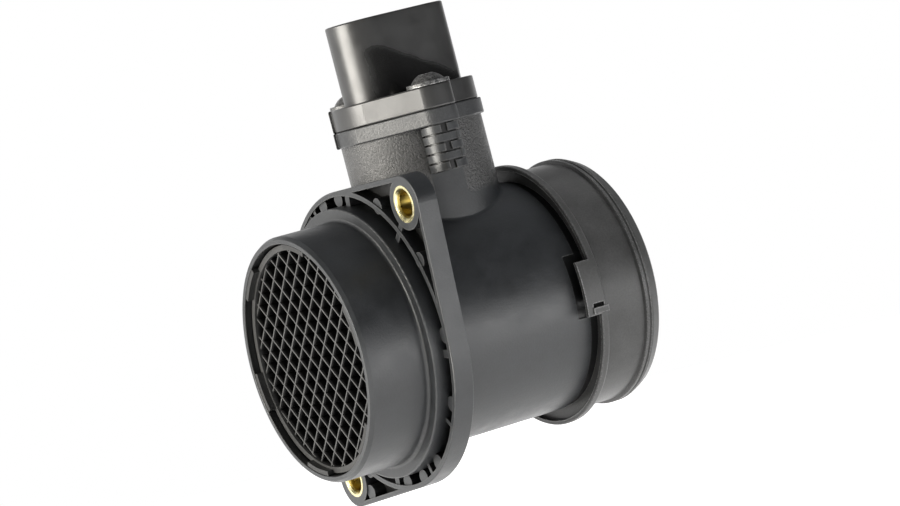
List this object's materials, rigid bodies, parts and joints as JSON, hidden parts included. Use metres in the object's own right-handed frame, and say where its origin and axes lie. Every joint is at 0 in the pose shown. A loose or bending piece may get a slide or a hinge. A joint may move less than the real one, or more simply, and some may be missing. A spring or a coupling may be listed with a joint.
{
  "type": "mass airflow sensor",
  "caption": "Air duct with an inlet lattice, an eared mounting flange, a chimney with a plug-in sensor and its connector shroud, and a collar on the outlet.",
  "frame": {"origin": "on the flow axis, in the front face of the mounting flange", "axes": "+X along the air flow from inlet to outlet, +Z along the chimney towards the connector, +Y to the left of the flow"},
  "size_m": [0.0953, 0.0888, 0.1342],
  "materials": {
    "housing_plastic": "black glass-filled polyamide, fine grain",
    "collar_plastic": "black glass-filled polyamide, fine grain",
    "lattice_plastic": "black moulded lattice, satin",
    "sensor_plastic": "black moulded polyester, satin",
    "cover_plastic": "black moulded polyester, satin",
    "sleeve_metal": "yellow passivated steel",
    "screw_steel": "black oxide, rough",
    "screen_steel": "fine stainless wire",
    "seal_rubber": "black rubber",
    "base_aluminium": "bare sheet",
    "board_ceramic": "white ceramic with printed tracks",
    "chip_black": "black epoxy",
    "film_silicon": "polished silicon",
    "thermistor_glass": "glazed bead",
    "pin_metal": "tin plated"
  },
  "bodies": {
    "root": {"housing": "housing_plastic", "upper_flange_insert": "sleeve_metal", "lower_flange_insert": "sleeve_metal", "flow_straightener": "lattice_plastic", "wire_screen": "screen_steel", "outlet_collar": "collar_plastic", "collar_seal_ring": "seal_rubber", "sensor_body": "sensor_plastic", "sensor_o_ring": "seal_rubber", "electronics_cover": "cover_plastic", "bypass_cover": "cover_plastic", "base_plate": "base_aluminium", "hybrid_board": "board_ceramic", "chip_carrier": "cover_plastic", "hot_film_chip": "film_silicon", "signal_chip": "chip_black", "chip_capacitors": "thermistor_glass", "intake_thermistor": "thermistor_glass", "thermistor_leads": "pin_metal", "front_screw": "screw_steel", "rear_screw": "screw_steel", "terminal_pin_1": "pin_metal", "terminal_pin_2": "pin_metal", "terminal_pin_3": "pin_metal", "terminal_pin_4": "pin_metal", "terminal_pin_5": "pin_metal"}
  },
  "joints": []
}
